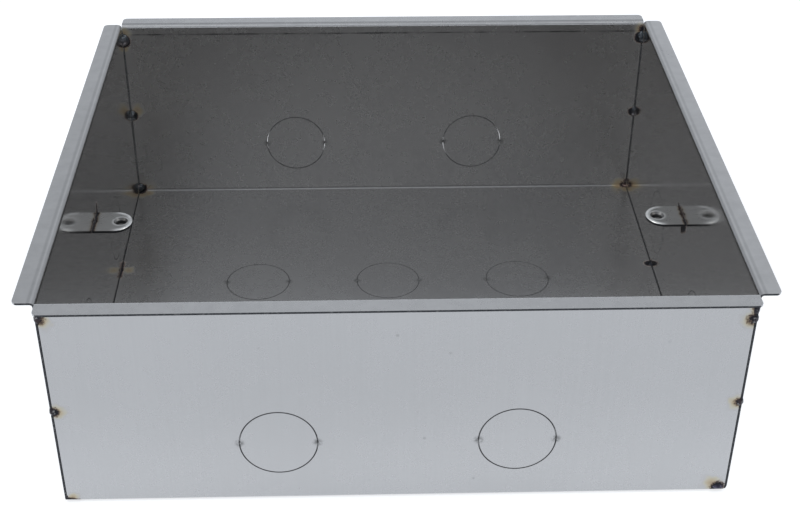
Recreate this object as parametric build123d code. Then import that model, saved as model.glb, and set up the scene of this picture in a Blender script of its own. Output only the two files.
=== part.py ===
from build123d import *
import os

# Floor box without its cover, folded and tack-welded from stainless steel sheet. Sizes are in millimetres.
# The origin is under the middle of the floor, +Z is up, and the long walls lie along X.

# Outside of the walls, and the sheet that they are folded from
box_width = 304.8
box_depth = 279.4
box_height = 111.1
sheet = 0.95
bend_radius = 1.2
seam_gap = 0.15

# Rim that is folded outward along the top of every wall
rim_reach = 8.7
rim_corner_radius = 2.5

# Knockouts: a cut ring that two bridges hold, the same size all over the box
knockout_radius = 17.46
kerf = 0.2
bridge = 1.1
end_knockout_spacing = 107.0
end_knockout_height = 33.3
side_knockout_spacing = 99.0
side_knockout_height = 29.4
floor_knockout_columns = 3
floor_knockout_rows = 2
floor_knockout_spacing = 73.0

# Screw tabs for the cover: their hole is drawn down into a collar, which is tapped
tab_top = 65.8
tab_shift = -2.3
tab_length = 19.2
tab_width = 18.0
tab_thickness = 1.5
tab_edge_break = 0.2
screw_reach = 13.3
screw_radius = 2.55
mouth_depth = 1.0
collar_wall = 0.9
collar_drop = 1.5
collar_root = 0.4

# Tack welds along the corner seams, outside and inside. The ends of the larger beads slope off by a share
# of their radius.
bead_slope = 0.45
top_tack_drop = 8.5
bottom_tack_rise = 3.0
outer_tack_radius = 1.6
outer_tack_inset = 0.95
outer_tack_length = 5.0
inner_tack_inset = 0.3
inner_tack_radii = {"bottom": 2.6, "middle": 2.5, "top": 3.0}
second_tack_drop = 4.7

# The one corner where the weld has melted the sheets round
melt_radius = 3.6
melt_depth = 4.0
melt_bead_radius = 2.2
melt_bead_inset = 1.4
melt_bead_length = 6.8

# Tack welds on the floor's side seams, and the weld along each tab
floor_tack_spacing = 100.0
floor_tack_radius = 2.0
tab_weld_radius = 0.9
tab_weld_overrun = 1.4

# Faces that everything else is placed from
inner_x = box_width / 2 - sheet
inner_y = box_depth / 2 - sheet
wrap_width = 2 * (inner_x - seam_gap)
outer_bend = bend_radius + sheet


def spread(count, spacing):
    return [(index - (count - 1) / 2) * spacing for index in range(count)]


def folded(plane, points, radii, width):
    # A strip of sheet, folded along a line that is drawn on its inner face
    inner_face = FilletPolyline(*points, radius=radii)
    section = make_face(inner_face.wires()[0].offset_2d(sheet, side=Side.RIGHT, closed=True))
    return extrude(plane * section, width / 2, both=True)


def knockout_ring(centre, outward, across):
    # What the cutter takes away round one knockout: two half rings, through the sheet
    face = Plane(origin=centre, x_dir=across, z_dir=outward)
    ring = Circle(knockout_radius + kerf / 2) - Circle(knockout_radius - kerf / 2)
    ring -= Rectangle(3 * knockout_radius, bridge)
    return extrude(face * ring, 2 * sheet, both=True)


def floor_knockouts():
    columns = spread(floor_knockout_columns, floor_knockout_spacing)
    rows = spread(floor_knockout_rows, floor_knockout_spacing)
    return [knockout_ring((x, y, 0), (0, 0, -1), (1, 0, 0)) for x in columns for y in rows]


def end_wall_knockouts(wall):
    places = [(x, wall * box_depth / 2, end_knockout_height) for x in spread(2, end_knockout_spacing)]
    return [knockout_ring(place, (0, wall, 0), (1, 0, 0)) for place in places]


def side_wall_knockouts():
    places = [(box_width / 2, y, side_knockout_height) for y in spread(2, side_knockout_spacing)]
    return [knockout_ring(place, (1, 0, 0), (0, 1, 0)) for place in places]


def melted_away():
    # Everything outside the round that the weld has melted at the front right bottom corner
    reach = 2 * melt_radius
    depth = reach + melt_depth
    middle = (box_width / 2 - melt_radius, -box_depth / 2 + melt_depth - depth / 2, melt_radius)
    corner = Box(reach, depth, reach, align=(Align.MIN, Align.CENTER, Align.MAX))
    round_part = Cylinder(melt_radius, depth, rotation=(90, 0, 0))
    return Location(middle) * (corner - round_part)


def body_wrap():
    rim = box_depth / 2 + rim_reach
    points = [(-rim, box_height), (-inner_y, box_height), (-inner_y, sheet),
              (inner_y, sheet), (inner_y, box_height), (rim, box_height)]
    radii = [outer_bend, bend_radius, bend_radius, outer_bend]
    wrap = folded(Plane.YZ, points, radii, wrap_width)
    ends = wrap.edges().filter_by(Axis.Z).group_by(Axis.Y)
    wrap = fillet(ends[0] + ends[-1], rim_corner_radius)
    wrap -= floor_knockouts() + end_wall_knockouts(-1) + end_wall_knockouts(1)
    return wrap - melted_away()


def side_panel():
    # The right one. It stands against the wrap's cut edges and takes the wrap's bends as its lower corners.
    points = [(inner_x, 0), (inner_x, box_height), (box_width / 2 + rim_reach, box_height)]
    panel = folded(Plane.XZ, points, [outer_bend], box_depth)
    panel = fillet(panel.edges().filter_by(Axis.Z).group_by(Axis.X)[-1], rim_corner_radius)
    panel = fillet(panel.edges().filter_by(Axis.X).group_by(Axis.Z)[0], outer_bend)
    return panel - side_wall_knockouts()


def tab_plate():
    straight = tab_length - tab_width / 2
    outline = Rectangle(straight, tab_width, align=(Align.MAX, Align.CENTER))
    outline += Location((-straight, 0)) * Circle(tab_width / 2)
    plate = extrude(outline, -tab_thickness)
    return chamfer(smallest_ring(plate, 0), tab_edge_break)


def smallest_ring(solid, height):
    rings = solid.edges().filter_by_position(Axis.Z, height, height).filter_by(GeomType.CIRCLE)
    return rings.sort_by(Edge.length)[0]


def cover_tab():
    # The right one. Its square end butts against the inside of the side panel.
    hole = Location((-screw_reach, 0, 0))
    depth = tab_thickness + collar_drop
    downward = (Align.CENTER, Align.CENTER, Align.MAX)
    tab = tab_plate() + hole * Cylinder(screw_radius + collar_wall, depth, align=downward)
    tab = chamfer(smallest_ring(tab, -tab_thickness), collar_root)
    tab -= hole * Cylinder(screw_radius, depth, align=downward)
    tab = chamfer(smallest_ring(tab, 0), mouth_depth)
    return Location((inner_x, tab_shift, tab_top)) * tab


def outside_block():
    # The box as a solid block, up to the outside of its walls
    section = Rectangle(box_depth, box_height, align=(Align.CENTER, Align.MIN))
    section = fillet(section.vertices().group_by(Axis.Y)[0], outer_bend)
    return extrude(Plane.YZ * section, box_width / 2, both=True)


def inside_block():
    # The room inside the box
    section = Rectangle(2 * inner_y, box_height - sheet, align=(Align.CENTER, Align.MIN))
    section = fillet(section.vertices().group_by(Axis.Y)[0], bend_radius)
    return extrude(Plane.YZ * (Location((0, sheet)) * section), inner_x, both=True)


def tack_heights():
    bottom = bottom_tack_rise
    top = box_height - top_tack_drop
    return {"bottom": bottom, "middle": (bottom + top) / 2, "top": top}


def bead(radius, length):
    return chamfer(Cylinder(radius, length).edges().filter_by(GeomType.CIRCLE), bead_slope * radius)


def outer_tack(y_side, height):
    x = -box_width / 2 + outer_tack_inset
    y = y_side * (box_depth / 2 - outer_tack_inset)
    return Location((x, y, height)) * Cylinder(outer_tack_radius, outer_tack_length) - outside_block()


def inner_tack(y_side, height, radius):
    x = -inner_x + inner_tack_inset
    y = y_side * (inner_y - inner_tack_inset)
    return (Location((x, y, height)) * bead(radius, 2 * radius)) & inside_block()


def left_corner_welds(y_side):
    welds = [inner_tack(y_side, height, inner_tack_radii[level]) for level, height in tack_heights().items()]
    return welds + [outer_tack(y_side, height) for height in tack_heights().values()]


def front_right_welds():
    # Here the bottom tack has melted the corner round, and a second tack sits below the top one
    heights = tack_heights()
    welds = [inner_tack(-1, height, inner_tack_radii[level]) for level, height in heights.items()]
    outer_heights = [heights["middle"], heights["top"] - second_tack_drop, heights["top"]]
    welds += [outer_tack(-1, height) for height in outer_heights]
    return to_right(welds) + [melt_bead()]


def melt_bead():
    x = (box_width - melt_bead_length) / 2
    y = -box_depth / 2 + melt_bead_inset
    along_x = Location((x, y, melt_bead_radius), (0, 90, 0))
    return along_x * bead(melt_bead_radius, melt_bead_length) - outside_block() - melted_away()


def to_right(pieces):
    return [mirror(piece, about=Plane.YZ) for piece in pieces]


def left_floor_welds():
    places = [Location((-inner_x, y, sheet), (90, 0, 0)) for y in spread(2, floor_tack_spacing)]
    return [(place * bead(floor_tack_radius, 2 * floor_tack_radius)) & inside_block() for place in places]


def left_tab_weld():
    # One bead in the angle between the tab's upper face and the wall, a little longer than the tab is wide
    angle = Location((-inner_x, tab_shift, tab_top))
    length = tab_width + 2 * tab_weld_overrun
    above_tab = Box(tab_weld_radius, length, tab_weld_radius, align=(Align.MIN, Align.CENTER, Align.MIN))
    return angle * (Location((0, 0, 0), (90, 0, 0)) * bead(tab_weld_radius, length) & above_tab)


def save(name, solids):
    shape = Compound(children=solids) if isinstance(solids, list) else solids
    export_step(shape, f"parts/{name}.step")


os.makedirs("parts", exist_ok=True)

panel = side_panel()
tab = cover_tab()
back_welds = left_corner_welds(1)
floor_welds = left_floor_welds()
weld_on_tab = left_tab_weld()

save("body_wrap", body_wrap())
save("side_panel_left", mirror(panel, about=Plane.YZ))
save("side_panel_right", panel - melted_away())
save("cover_tab_left", mirror(tab, about=Plane.YZ))
save("cover_tab_right", tab)
save("corner_welds_front_left", left_corner_welds(-1))
save("corner_welds_front_right", front_right_welds())
save("corner_welds_back_left", back_welds)
save("corner_welds_back_right", to_right(back_welds))
save("floor_seam_welds_left", floor_welds)
save("floor_seam_welds_right", to_right(floor_welds))
save("tab_weld_left", weld_on_tab)
save("tab_weld_right", mirror(weld_on_tab, about=Plane.YZ))
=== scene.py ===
import math

import bmesh
import bpy
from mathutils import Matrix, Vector, noise

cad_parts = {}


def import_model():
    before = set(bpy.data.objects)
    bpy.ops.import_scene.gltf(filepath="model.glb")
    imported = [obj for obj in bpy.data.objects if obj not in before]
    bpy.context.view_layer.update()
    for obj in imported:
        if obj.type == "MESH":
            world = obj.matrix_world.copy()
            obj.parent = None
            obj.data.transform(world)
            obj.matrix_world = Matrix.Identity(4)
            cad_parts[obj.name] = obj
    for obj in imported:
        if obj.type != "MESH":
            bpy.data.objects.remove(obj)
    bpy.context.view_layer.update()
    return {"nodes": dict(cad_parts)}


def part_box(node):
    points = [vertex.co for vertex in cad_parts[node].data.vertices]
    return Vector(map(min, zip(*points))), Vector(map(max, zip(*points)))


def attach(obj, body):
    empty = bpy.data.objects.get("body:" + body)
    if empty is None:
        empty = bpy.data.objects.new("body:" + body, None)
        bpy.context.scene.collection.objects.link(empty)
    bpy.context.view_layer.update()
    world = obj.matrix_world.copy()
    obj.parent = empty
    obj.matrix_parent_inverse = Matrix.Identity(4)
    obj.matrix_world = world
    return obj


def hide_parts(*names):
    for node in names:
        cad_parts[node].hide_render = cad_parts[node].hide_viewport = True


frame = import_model()
scene = bpy.context.scene
print("frame loaded:", len(frame["nodes"]), "nodes")

# faces of the sheets and tabs that marks and welds are placed from, in millimetres


def nodeBox(node):
    return [[round(1000.0 * part, 3) for part in corner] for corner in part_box(node)]


panelLow, panelHigh = nodeBox("side_panel_right")
tabLow, tabHigh = nodeBox("cover_tab_right")
sheet = 0.95
screwReach = 13.3
faceAt = {
    "innerX": panelLow[0], "outerX": panelLow[0] + sheet,
    "innerY": panelHigh[1] - sheet, "outerY": panelHigh[1], "floor": sheet,
    "tabTop": tabHigh[2], "tabFront": tabLow[1], "tabBack": tabHigh[1],
    "screwX": panelLow[0] - screwReach, "screwY": (tabLow[1] + tabHigh[1]) / 2,
}

# camera

photoView = {
    "place": (-0.01781170, -0.62245647, 0.44810365),
    "turn": (55.35122581, -0.25982801, -1.65314385),  # degrees about X, Y and Z
    "lens": 63.58127, "sensor": 36.0,
    "shift": (0.007775, 0.040446),
}


def addCamera():
    data = bpy.data.cameras.new("photoCamera")
    data.sensor_width, data.lens = photoView["sensor"], photoView["lens"]
    data.shift_x, data.shift_y = photoView["shift"]
    data.clip_start, data.clip_end = 0.01, 50.0
    camera = bpy.data.objects.new("photoCamera", data)
    camera.location = photoView["place"]
    camera.rotation_euler = [math.radians(turn) for turn in photoView["turn"]]
    scene.collection.objects.link(camera)
    scene.camera = camera


addCamera()
scene.view_settings.view_transform = "Standard"
print("camera placed")

# small helpers for node trees


def addNode(tree, kind, inputs=None, **settings):
    made = tree.nodes.new(kind)
    for name, value in settings.items():
        setattr(made, name, value)
    for name, value in (inputs or {}).items():
        plug(tree, made.inputs[name], value)
    return made


def plug(tree, socket, value):
    if isinstance(value, bpy.types.NodeSocket):
        tree.links.new(value, socket)
    else:
        socket.default_value = value


def calc(tree, operation, *values, clamp=False):
    made = tree.nodes.new("ShaderNodeMath")
    made.operation, made.use_clamp = operation, clamp
    for socket, value in zip(made.inputs, values):
        plug(tree, socket, value)
    return made.outputs[0]


def vectorCalc(tree, operation, *values, out=0):
    made = tree.nodes.new("ShaderNodeVectorMath")
    made.operation = operation
    for socket, value in zip(made.inputs, values):
        plug(tree, socket, value)
    return made.outputs[out]


def inMillimetres(tree, position):
    return vectorCalc(tree, "MULTIPLY", position, (1000.0, 1000.0, 1000.0))


def distance(tree, place, target):
    return vectorCalc(tree, "DISTANCE", place, target, out=1)


def nearest(tree, values):
    least = values[0]
    for value in values[1:]:
        least = calc(tree, "MINIMUM", least, value)
    return least


def separate(tree, vector):
    return addNode(tree, "ShaderNodeSeparateXYZ", {"Vector": vector}).outputs


def grey(tree, value):
    return addNode(tree, "ShaderNodeCombineColor", {"Red": value, "Green": value, "Blue": value}).outputs[0]


def remap(tree, value, low, high, toLow=0.0, toHigh=1.0, smooth=True):
    kind = "SMOOTHSTEP" if smooth else "LINEAR"
    made = addNode(tree, "ShaderNodeMapRange", {"Value": value, "From Min": low, "From Max": high,
                                                "To Min": toLow, "To Max": toHigh}, interpolation_type=kind)
    return made.outputs["Result"]


def mixColours(tree, factor, first, second, mode="MIX"):
    made = tree.nodes.new("ShaderNodeMix")
    made.data_type, made.blend_type = "RGBA", mode
    for index, value in ((0, factor), (6, first), (7, second)):
        plug(tree, made.inputs[index], value)
    return made.outputs[2]


def ramp(tree, value, stops):
    made = addNode(tree, "ShaderNodeValToRGB", {"Fac": value})
    row = made.color_ramp.elements
    while len(row) < len(stops):
        row.new(0.5)
    for element, (place, colour) in zip(row, stops):
        element.position, element.color = place, colour
    return made.outputs["Color"], made.outputs["Alpha"]


def noiseAt(tree, position, scale, detail=2.0, roughness=0.5, stretch=None):
    if stretch:
        position = vectorCalc(tree, "MULTIPLY", position, stretch)
    made = addNode(tree, "ShaderNodeTexNoise", {"Vector": position, "Scale": scale, "Detail": detail,
                                                "Roughness": roughness})
    return made.outputs["Fac"]


def opposite(tree, mask):
    return calc(tree, "SUBTRACT", 1.0, mask)


def both(tree, *masks):
    joined = masks[0]
    for mask in masks[1:]:
        joined = calc(tree, "MULTIPLY", joined, mask)
    return joined


def facing(tree, normal, axis, low=0.85, high=0.95):
    part = separate(tree, normal)[axis]
    return remap(tree, calc(tree, "ABSOLUTE", part), low, high)


def newGroup(name, inputs, outputs):
    kinds = {"colour": "NodeSocketColor", "value": "NodeSocketFloat", "vector": "NodeSocketVector"}
    tree = bpy.data.node_groups.new(name, "ShaderNodeTree")
    for label, (kind, value) in inputs.items():
        socket = tree.interface.new_socket(label, in_out="INPUT", socket_type=kinds[kind])
        if value is not None:
            socket.default_value = value
    for label, kind in outputs.items():
        tree.interface.new_socket(label, in_out="OUTPUT", socket_type=kinds[kind])
    return tree, tree.nodes.new("NodeGroupInput").outputs, tree.nodes.new("NodeGroupOutput").inputs


def useGroup(tree, group, inputs):
    made = tree.nodes.new("ShaderNodeGroup")
    made.node_tree = group
    for name, value in inputs.items():
        plug(tree, made.inputs[name], value)
    return made.outputs


def newMaterial(name):
    material = bpy.data.materials.new(name)
    material.use_nodes = True
    tree = material.node_tree
    shader = tree.nodes["Principled BSDF"]
    places = addNode(tree, "ShaderNodeTexCoord")
    return material, tree, shader, places.outputs["Object"], places.outputs["Normal"]


# heat round the welds

# soot, as (x, y, z, radius of the black, radius of its fringe) in millimetres
sootPlaces = [
    # back left and back right corners
    (-151.0, 138.4, 101.2, 3.5, 4.4), (-150.7, 138.4, 53.0, 2.9, 3.9), (-150.6, 138.0, 2.4, 3.1, 4.3),
    (-147.9, 138.4, 3.6, 0.2, 2.6),
    (150.4, 138.4, 101.2, 3.3, 4.3), (151.0, 138.6, 106.6, 1.0, 3.4), (150.4, 138.4, 52.7, 2.3, 3.2),
    (149.3, 138.3, 1.8, 0.9, 2.8), (151.0, 138.5, 4.2, 0.5, 2.2),
    # floor seams
    (150.2, 50.2, 1.0, 2.1, 3.3), (-151.2, -50.0, 1.0, 1.6, 3.0), (151.2, -50.0, 1.0, 1.6, 3.0),
    # front left and front right corners
    (-151.2, -139.6, 102.6, 1.4, 3.6), (-151.0, -139.6, 52.8, 1.6, 3.2),
    (151.6, -139.6, 104.0, 0.7, 2.8), (151.0, -139.6, 98.4, 1.3, 4.0), (151.2, -139.6, 52.8, 1.0, 3.0),
    (148.0, -139.5, 2.6, 2.2, 4.0),
    # tabs, and a nick in the right rim
    (-150.7, 3.6, 66.0, 1.1, 2.1), (-150.9, -2.0, 65.9, 0.8, 1.7), (-151.0, -10.9, 65.5, 0.9, 1.7),
    (151.0, -10.6, 65.6, 0.8, 1.6), (154.4, -111.4, 111.1, 0.3, 1.2),
]
# strokes of soot along the tabs' welds and two seams, as (start, end, radius of the black, of its fringe)
sootStrokes = [
    ((-151.4, -12.2, 65.9), (-151.4, 8.0, 65.9), 0.75, 1.35),
    ((-151.4, 5.8, 66.2), (-151.4, 6.8, 69.2), 1.3, 2.9),
    ((151.4, -12.6, 65.9), (151.4, 8.6, 65.9), 0.62, 1.2),
    ((151.4, -10.6, 62.6), (151.4, -4.0, 58.0), 1.1, 2.8),
    ((-151.5, 43.0, 1.2), (-151.5, 57.0, 1.2), 0.5, 2.0),
    ((-151.8, -139.4, 1.2), (-146.8, -139.2, 0.2), 0.7, 2.0),
]
# straw and brown oxide beside the welds, as (x, y, z, radius)
strawPlaces = [
    # back left and back right corners
    (-149.8, 138.7, 106.4, 4.6), (-150.4, 138.7, 96.4, 3.2), (-147.6, 138.7, 56.6, 5.4),
    (-149.6, 133.6, 1.0, 5.6), (-145.2, 135.4, 1.0, 4.6),
    (149.4, 138.7, 106.6, 5.0), (150.6, 138.7, 53.2, 3.0), (146.0, 138.4, 1.2, 6.2), (150.6, 134.8, 1.4, 5.4),
    # floor seams
    (-149.6, -50.0, 1.0, 4.0), (149.6, -50.0, 1.0, 4.0), (-147.2, 49.6, 1.0, 4.8),
    # front left and front right corners
    (-149.9, -139.7, 101.7, 6.0), (-149.4, -139.7, 53.0, 5.8), (-148.8, -139.5, 2.4, 4.2),
    (151.2, -139.7, 103.2, 4.6), (149.9, -139.7, 97.6, 6.6), (149.8, -139.7, 52.9, 6.0),
    (145.0, -139.6, 5.0, 6.4),
    # tabs
    (-151.4, 4.0, 67.0, 3.0), (-151.4, -9.0, 64.4, 2.8), (151.4, 2.0, 66.6, 2.4), (151.4, -8.0, 64.4, 2.8),
]
heatLook = {
    "cloudScale": 0.32, "cloudLeast": 0.80, "cloudMost": 1.3,
    "grainScale": 1.35, "grainSpread": 0.55,
    "straw": [
        (0.00, (0.420, 0.290, 0.150, 0.72)), (0.30, (0.560, 0.440, 0.240, 0.66)),
        (0.60, (0.600, 0.545, 0.375, 0.42)), (0.82, (0.500, 0.465, 0.455, 0.18)),
        (1.00, (0.500, 0.490, 0.470, 0.0)),
    ],
    "soot": [
        (0.00, (0.010, 0.010, 0.014, 1.0)), (0.22, (0.040, 0.024, 0.028, 0.97)),
        (0.50, (0.130, 0.072, 0.048, 0.80)), (0.78, (0.280, 0.185, 0.105, 0.38)),
        (1.00, (0.360, 0.260, 0.160, 0.0)),
    ],
}


def toStroke(tree, place, start, end):
    # distance from a place to a straight stroke
    along = Vector(end) - Vector(start)
    away = vectorCalc(tree, "SUBTRACT", place, start)
    share = calc(tree, "MULTIPLY", vectorCalc(tree, "DOT_PRODUCT", away, tuple(along), out=1),
                 1.0 / along.length_squared, clamp=True)
    back = addNode(tree, "ShaderNodeVectorMath", {0: tuple(along), "Scale": share}, operation="SCALE")
    return distance(tree, away, back.outputs[0])


def weldHeatGroup():
    # colour of the steel round the welds: soot with a brown fringe, and blotches of straw beside it
    tree, given, out = newGroup("weldHeat", {
        "Position": ("vector", None), "Colour": ("colour", (0.5, 0.5, 0.5, 1.0)), "Strength": ("value", 1.0),
    }, {"Colour": "colour", "Tint": "value", "Soot": "value"})
    place = inMillimetres(tree, given["Position"])
    clouds = noiseAt(tree, place, heatLook["cloudScale"], 2.0, 0.5)
    clouds = remap(tree, clouds, 0.28, 0.72, heatLook["cloudLeast"], heatLook["cloudMost"], smooth=False)
    grain = noiseAt(tree, place, heatLook["grainScale"], 3.0, 0.7)
    grain = remap(tree, grain, 0.25, 0.75, -heatLook["grainSpread"], heatLook["grainSpread"], smooth=False)

    def intoFringe(away, black, fringe):
        return calc(tree, "DIVIDE", calc(tree, "SUBTRACT", away, black), fringe - black)

    toStraw = [calc(tree, "DIVIDE", distance(tree, place, (x, y, z)), radius)
               for x, y, z, radius in strawPlaces]
    toSoot = [intoFringe(distance(tree, place, (x, y, z)), black, fringe)
              for x, y, z, black, fringe in sootPlaces]
    toSoot += [intoFringe(toStroke(tree, place, start, end), black, fringe)
               for start, end, black, fringe in sootStrokes]
    straw, strawAmount = ramp(tree, calc(tree, "MULTIPLY", nearest(tree, toStraw), clouds), heatLook["straw"])
    soot, sootAmount = ramp(tree, calc(tree, "ADD", nearest(tree, toSoot), grain), heatLook["soot"])
    strawAmount = calc(tree, "MULTIPLY", strawAmount, given["Strength"], clamp=True)
    sootAmount = calc(tree, "MULTIPLY", sootAmount, given["Strength"], clamp=True)
    tinted = mixColours(tree, strawAmount, given["Colour"], straw)
    plug(tree, out["Colour"], mixColours(tree, sootAmount, tinted, soot))
    plug(tree, out["Tint"], calc(tree, "MAXIMUM", strawAmount, sootAmount))
    plug(tree, out["Soot"], sootAmount)
    return tree


# marks at the knockouts

knockouts = {
    "radius": 17.46,
    "floorSpacing": 73.0, "floorHeight": 0.5,
    "endSpacing": 107.0, "endHeight": 33.3, "endWall": 139.2,
    "sideSpacing": 99.0, "sideHeight": 29.4, "sideWall": 151.9,
}
knockoutLook = {
    "scuffs": 0.95, "scuffFull": 0.6, "scuffReach": 3.0, "scuffScale": 0.75,
    # the burr line along each ring is partly burr and partly painted shade in the kerf
    "burrAndShade": 0.82, "burrAndShadeFull": 0.22, "burrAndShadeWidth": 0.38, "burrAndShadeAtBridge": 0.7,
    "scuffShade": (0.38, 0.38, 0.38, 1.0), "burrAndShadeColour": (0.018, 0.018, 0.020, 1.0),
}


def quarterRings():
    # centres of the rings and their bridges, folded into one quarter of the box
    floorY, floorZ = knockouts["floorSpacing"] / 2, knockouts["floorHeight"]
    alongX = [
        (0.0, floorY, floorZ), (knockouts["floorSpacing"], floorY, floorZ),
        (knockouts["endSpacing"] / 2, knockouts["endWall"], knockouts["endHeight"]),
    ]
    alongY = [(knockouts["sideWall"], knockouts["sideSpacing"] / 2, knockouts["sideHeight"])]
    bridges = [(abs(x + way * knockouts["radius"]), y, z) for x, y, z in alongX for way in (-1, 1)]
    bridges += [(x, y + way * knockouts["radius"], z) for x, y, z in alongY for way in (-1, 1)]
    return alongX + alongY, bridges


def knockoutMarksGroup():
    # a dark line along each ring, partly burr and partly painted shade in the kerf, and small scuffs where
    # the punch has pressed on each side of a bridge
    tree, given, out = newGroup("knockoutMarks", {
        "Position": ("vector", None), "Colour": ("colour", (0.5, 0.5, 0.5, 1.0)), "Scuffs": ("value", 0.5),
        "Burr And Shade": ("value", 0.8), "Burr And Shade Width": ("value", 0.4),
    }, {"Colour": "colour", "Scuff": "value", "Burr And Shade": "value"})
    place = inMillimetres(tree, given["Position"])
    folded = vectorCalc(tree, "ABSOLUTE", place)
    centres, bridges = quarterRings()
    toBridge = nearest(tree, [distance(tree, folded, bridge) for bridge in bridges])
    toCentres = [distance(tree, folded, centre) for centre in centres]
    toRing = nearest(tree, [calc(tree, "ABSOLUTE", calc(tree, "SUBTRACT", away, knockouts["radius"]))
                            for away in toCentres])
    line = remap(tree, toRing, knockoutLook["burrAndShadeFull"], given["Burr And Shade Width"], 1.0, 0.0)
    burrAndShade = calc(tree, "MULTIPLY", line, remap(tree, toBridge, 0.3, 1.0, knockoutLook["burrAndShadeAtBridge"], 1.0))
    burrAndShade = calc(tree, "MULTIPLY", burrAndShade, given["Burr And Shade"])
    lined = mixColours(tree, burrAndShade, given["Colour"], knockoutLook["burrAndShadeColour"])
    grain = noiseAt(tree, place, knockoutLook["scuffScale"], 3.0, 0.65)
    scuff = remap(tree, toBridge, knockoutLook["scuffFull"], knockoutLook["scuffReach"], 1.0, 0.0)
    scuff = calc(tree, "MULTIPLY", scuff, remap(tree, grain, 0.33, 0.58))
    amount = calc(tree, "MULTIPLY", scuff, given["Scuffs"], clamp=True)
    dark = mixColours(tree, 1.0, lined, knockoutLook["scuffShade"], mode="MULTIPLY")
    plug(tree, out["Colour"], mixColours(tree, amount, lined, dark))
    plug(tree, out["Scuff"], scuff)
    plug(tree, out["Burr And Shade"], burrAndShade)
    return tree


# the skin and the cut edges of the sheet

millLook = {
    "cloudScale": 14.0, "mottleScale": 170.0, "streakScale": 1500.0,
    "speckScale": 85.0, "speckCore": 0.03, "speckEdge": 0.09, "speckRarity": 0.86,
    "roughnessSpread": 0.08, "mottleHeight": 0.1,
}
edgeLook = {"colour": (0.04, 0.042, 0.047, 1.0), "grainScale": 900.0, "grainLeast": 0.75}


def millFinishGroup():
    # cold-rolled skin: broad clouds, fine mottling, streaks along the rolling direction and a few specks
    tree, given, out = newGroup("millFinish", {
        "Position": ("vector", None), "Colour": ("colour", (0.5, 0.5, 0.5, 1.0)),
        "Rolling": ("vector", (1.0, 0.02, 0.02)), "Clouds": ("value", 0.05), "Mottle": ("value", 0.04),
        "Streaks": ("value", 0.04), "Specks": ("value", 0.4), "Roughness": ("value", 0.2),
    }, {"Colour": "colour", "Roughness": "value", "Height": "value"})
    position = given["Position"]
    clouds = calc(tree, "SUBTRACT", noiseAt(tree, position, millLook["cloudScale"], 3.0, 0.55), 0.5)
    mottle = calc(tree, "SUBTRACT", noiseAt(tree, position, millLook["mottleScale"], 3.0, 0.6), 0.5)
    rolled = vectorCalc(tree, "MULTIPLY", position, given["Rolling"])
    streaks = calc(tree, "SUBTRACT", noiseAt(tree, rolled, millLook["streakScale"], 3.0, 0.6), 0.5)
    shade = calc(tree, "MULTIPLY_ADD", clouds, given["Clouds"], 1.0)
    shade = calc(tree, "MULTIPLY_ADD", mottle, given["Mottle"], shade)
    shade = calc(tree, "MULTIPLY_ADD", streaks, given["Streaks"], shade)
    cells = addNode(tree, "ShaderNodeTexVoronoi", {"Vector": position, "Scale": millLook["speckScale"],
                                                   "Randomness": 1.0}).outputs
    chance = addNode(tree, "ShaderNodeSeparateColor", {"Color": cells["Color"]}).outputs[0]
    speck = both(tree, remap(tree, cells["Distance"], millLook["speckCore"], millLook["speckEdge"], 1.0, 0.0),
                 remap(tree, chance, millLook["speckRarity"], millLook["speckRarity"] + 0.04))
    shade = calc(tree, "SUBTRACT", shade, calc(tree, "MULTIPLY", speck, given["Specks"]))
    plug(tree, out["Colour"], mixColours(tree, 1.0, given["Colour"], grey(tree, shade), mode="MULTIPLY"))
    uneven = calc(tree, "ADD", clouds, mottle)
    plug(tree, out["Roughness"],
         calc(tree, "MULTIPLY_ADD", uneven, millLook["roughnessSpread"], given["Roughness"]))
    plug(tree, out["Height"], calc(tree, "MULTIPLY_ADD", mottle, millLook["mottleHeight"], streaks))
    return tree


def cutEdgeGroup():
    # sheared edges: dark, with a fine grain from the shear
    tree, given, out = newGroup("cutEdge", {
        "Position": ("vector", None), "Colour": ("colour", (0.5, 0.5, 0.5, 1.0)), "Mask": ("value", 0.0),
        "Edge Colour": ("colour", edgeLook["colour"]),
    }, {"Colour": "colour", "Dirt": "value"})
    grain = remap(tree, noiseAt(tree, given["Position"], edgeLook["grainScale"]), 0.25, 0.5,
                  edgeLook["grainLeast"], 1.0)
    broken = calc(tree, "MULTIPLY", given["Mask"], grain, clamp=True)
    plug(tree, out["Colour"], mixColours(tree, broken, given["Colour"], given["Edge Colour"]))
    plug(tree, out["Dirt"], broken)
    return tree


weldHeat, knockoutMarks = weldHeatGroup(), knockoutMarksGroup()
millFinish, cutEdge = millFinishGroup(), cutEdgeGroup()
print("shared effects built")

# steel sheet

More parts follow.
